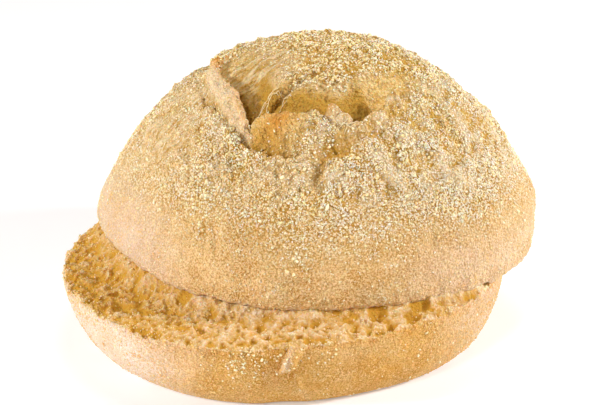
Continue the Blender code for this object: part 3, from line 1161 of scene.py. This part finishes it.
def crumb_colour(tree):
    """Pale walls of the open crumb, and painted shade in the depths of its cells."""
    wall = mottle(tree, (1.0, 0.88, 0.69), (0.80, 0.51, 0.17), 300.0, 1500.0)
    return blend(tree, mask(tree, "pit"), wall, (0.66, 0.355, 0.04))


def granule_colour(tree, granules, bright, pale, deep):
    """Tops of granules between two tones, with a deep tone in the gaps: crust and painted shade."""
    return blend(tree, granules["Gap"], blend(tree, granules["Tone"], pale, bright), deep)


# %% [markdown]
# The base is a red-brown skin with a dusting of flour at both sides, and crumb on the cut face.
# The crown is built up in layers, each laid over the ones before it where its mask is painted:
# skin, flour in white and in gold, semolina, golden crust with painted shade in the crevices, bare
# dough, fibres, toasted tips and painted deep shade.

# %% Finishes of the two halves
def base_finish():
    """Baked skin on the flank, open crumb on the cut face."""
    material, tree, shader = baked("base_crust", 0.82, 0.5, 1.5)
    skin = mottle(tree, (0.86, 0.53, 0.17), (0.52, 0.22, 0.012), 110.0, 2500.0)
    floured = mottle(tree, (0.98, 0.84, 0.72), (0.72, 0.48, 0.24), 160.0, 2500.0)
    colour = blend(tree, mask(tree, "dusty"), skin, floured)
    colour = blend(tree, mask(tree, "crumb"), colour, crumb_colour(tree))
    tooth = use_group(tree, TOOTH, Coarse_Scale=1300.0, Fine_Scale=3200.0)
    finish(tree, shader, colour, tooth["Height"], 0.9)
    return material


def crown_finish():
    """Floured crust, bare dough in the tear, toasted tips, and crumb underneath."""
    material, tree, shader = baked("floured_crust", 0.82, 0.35, 0.8)
    small = use_group(tree, GRANULES, Scale=1800.0, Warp=0.0006)
    large = use_group(tree, GRANULES, Scale=1250.0, Warp=0.0008)
    lines = use_group(tree, FIBRES, Scale=900.0)
    tooth = use_group(tree, TOOTH, Coarse_Scale=1500.0, Fine_Scale=2800.0)

    # the last tone of each is crust with painted shade in the gaps between granules
    white = granule_colour(tree, small, (1.0, 0.99, 0.93), (0.96, 0.80, 0.50), (0.50, 0.25, 0.02))
    gold = granule_colour(tree, small, (1.0, 0.95, 0.70), (0.88, 0.63, 0.20), (0.50, 0.25, 0.015))
    drifts = spread(tree, noise(tree, object_place(tree), 230.0, 3.0, 0.6).outputs["Fac"], 0.42, 0.58)
    whiteness = calculate(tree, "ADD", calculate(tree, "MULTIPLY", drifts, 0.5), mask(tree, "white", 0.6))
    semolina = granule_colour(tree, large, (1.0, 0.94, 0.66), (0.88, 0.63, 0.18), (0.50, 0.25, 0.015))
    strands = spread(tree, lines["Height"], 0.38, 0.6)

    colour = mottle(tree, (0.98, 0.72, 0.38), (0.50, 0.225, 0.015), 180.0, 2500.0)
    layers = (
        ("smooth", 1.0, mottle(tree, (0.90, 0.71, 0.54), (0.67, 0.43, 0.22), 120.0, 2500.0)),
        ("flour", 1.0, blend(tree, whiteness, gold, white)),
        ("coarse", 1.0, semolina),
        ("paste", 0.6, mottle(tree, (1.0, 0.97, 0.82), (0.88, 0.69, 0.36), 300.0, 2200.0)),
        # golden crust with painted shade in the low places between clumps
        ("crevice", 0.6, (0.74, 0.44, 0.07)),
        ("bare", 1.0, mottle(tree, (0.97, 0.76, 0.38), (0.72, 0.43, 0.09), 320.0, 1200.0)),
        ("fibrous", 0.8, blend(tree, strands, (0.56, 0.32, 0.05), (1.0, 0.86, 0.56))),
        ("toast", 1.0, mottle(tree, (0.82, 0.44, 0.10), (0.62, 0.26, 0.03), 260.0, 1500.0)),
        # painted shade where the tear is deep
        ("deep", 0.95, (0.56, 0.31, 0.03)),
        ("crumb", 1.0, crumb_colour(tree)),
    )
    for name, amount, layer in layers:
        colour = blend(tree, mask(tree, name, amount), colour, layer)

    height = calculate(tree, "MULTIPLY", tooth["Height"], 1.2)
    reliefs = ((small, "flour", 0.9), (large, "coarse", 0.9), (large, "bare", 0.5), (lines, "fibrous", 4.0))
    for source, name, amount in reliefs:
        part = calculate(tree, "MULTIPLY", source["Height"], mask(tree, name, amount))
        height = calculate(tree, "ADD", height, part)
    finish(tree, shader, colour, height, 0.8)
    return material


base.data.materials.append(base_finish())
crown.data.materials.append(crown_finish())

# %% [markdown]
# Grains of one kind aren't all of one tone, and each gets a golden, darker painted shade where it
# sits in the crust. The threads are the same pale dough throughout.

# %% Finishes of the grains and threads
# each kind with its pale tone, its dark tone, and its painted shade where it sits in the crust
GRAIN_TONES = (
    (coarse, (1.0, 0.95, 0.72), (0.94, 0.75, 0.35), (0.60, 0.31, 0.03)),
    (fine, (1.0, 0.96, 0.79), (0.95, 0.78, 0.43), (0.62, 0.33, 0.03)),
    (specks, (1.0, 0.98, 0.90), (0.98, 0.87, 0.64), (0.66, 0.36, 0.05)),
    (crown_grit, (1.0, 0.77, 0.47), (0.90, 0.57, 0.23), (0.54, 0.24, 0.015)),
    (base_grit, (0.98, 0.67, 0.33), (0.84, 0.46, 0.14), (0.52, 0.23, 0.015)),
    (few_grains, (1.0, 0.95, 0.76), (0.97, 0.84, 0.5), (0.80, 0.50, 0.14)),
    (crumbs, (0.98, 0.84, 0.58), (0.88, 0.62, 0.26), (0.76, 0.44, 0.07)),
)


def grain_finish(name, pale, dark, foot_shade):
    """Grains, each a little different, with painted shade where they sit in the crust."""
    material, tree, shader = baked(name, 0.6, 0.4, 0.4)
    tone = mottle(tree, pale, dark, 1500.0, 300.0)
    colour = blend(tree, spread(tree, mask(tree, "tip"), 0.35, 0.8), foot_shade, tone)
    tooth = use_group(tree, TOOTH, Coarse_Scale=3000.0, Fine_Scale=6000.0)
    finish(tree, shader, colour, tooth["Height"], 0.08)
    return material


def thread_finish():
    """Pale threads of dried dough."""
    material, tree, shader = baked("dough_threads", 0.7, 0.2, 1.0)
    tone = mottle(tree, (0.98, 0.88, 0.60), (0.88, 0.64, 0.30), 600.0, 1400.0)
    tree.links.new(tone, shader.inputs["Base Color"])
    return material


for grains, pale, dark, foot_shade in GRAIN_TONES:
    grains.data.materials.append(grain_finish(grains.name, pale, dark, foot_shade))
threads.data.materials.append(thread_finish())
print("grain finishes:", len(GRAIN_TONES))

# %% [markdown]
# Every piece rides on the one rigid body. The base and the crown take the place of their solids,
# which are hidden.

# %% Put the pieces on the frame
for piece, node, slot in ((base, "roll_base", "base_crust"), (crown, "roll_crown", "floured_crust")):
    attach(piece, "root")
    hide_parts(node)
for extra, slot in (
    (coarse, "floured_crust"), (fine, "floured_crust"), (specks, "floured_crust"), (threads, "floured_crust"),
    (crown_grit, "floured_crust"), (base_grit, "base_crust"), (crumbs, "base_crust"),
    (few_grains, "base_crust"),
):
    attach(extra, "root")

# %% [markdown]
# The roll stands on a large pale floor that glows a little, so that its far parts stay light. A
# real table top would have a grain of its own, which would draw the eye away from the crust.

# %% Floor
FLOOR_SIZE = 6


def plain_floor():
    """A large pale floor under the roll."""
    bpy.ops.object.select_all(action="DESELECT")
    bpy.ops.mesh.primitive_plane_add(size=FLOOR_SIZE, location=(0, 0, 0))
    floor = bpy.context.active_object
    floor.name = "floor"
    coat, _, shader = baked("pale_floor", 0.9, 0.0, 1.0)
    shader.inputs["Base Color"].default_value = (0.82, 0.85, 0.9, 1)
    shader.inputs["Emission Color"].default_value = (0.94, 0.97, 1.0, 1)
    shader.inputs["Emission Strength"].default_value = 0.28
    floor.data.materials.append(coat)
    return floor


floor = plain_floor()

# %% [markdown]
# Two small softboxes stand low at both sides, so that every grain and cell throws a soft shadow.
# A weak one in front opens the hollow, and a wide one above lights the top. The air around is
# warm, because light that bounces about inside the roll and around it is golden.

# %% Lamps
LAMP_COLOUR = (1.02, 0.98, 1.0)
# name, place and width in m, power in W, colour
LAMPS = (
    ("left_light", (-0.62, -0.22, 0.28), 0.10, 3.3, LAMP_COLOUR),
    ("right_light", (0.60, -0.08, 0.34), 0.10, 3.9, LAMP_COLOUR),
    ("front_light", (-0.20, -0.55, 0.42), 0.10, 1.3, LAMP_COLOUR),
    ("top_light", (0.05, 0.25, 0.7), 0.3, 1.45, (1, 1, 1)),
)
AIR_COLOUR = (1, 0.74, 0.38, 1)
AIR_STRENGTH = 0.22


def softbox(name, place, width, power, colour):
    """A square soft light that looks at the roll."""
    lamp = bpy.data.objects.new(name, bpy.data.lights.new(name, "AREA"))
    bpy.context.scene.collection.objects.link(lamp)
    lamp.data.size = width
    lamp.data.energy = power
    lamp.data.color = colour
    aim(lamp, Vector(place), VIEW_CENTRE)


for lamp in LAMPS:
    softbox(*lamp)
world = bpy.data.worlds.new("studio")
world.use_nodes = True
world.node_tree.nodes["Background"].inputs["Color"].default_value = AIR_COLOUR
world.node_tree.nodes["Background"].inputs["Strength"].default_value = AIR_STRENGTH
bpy.context.scene.world = world
bpy.context.scene.view_settings.view_transform = "Standard"
print("lamps:", len(LAMPS))
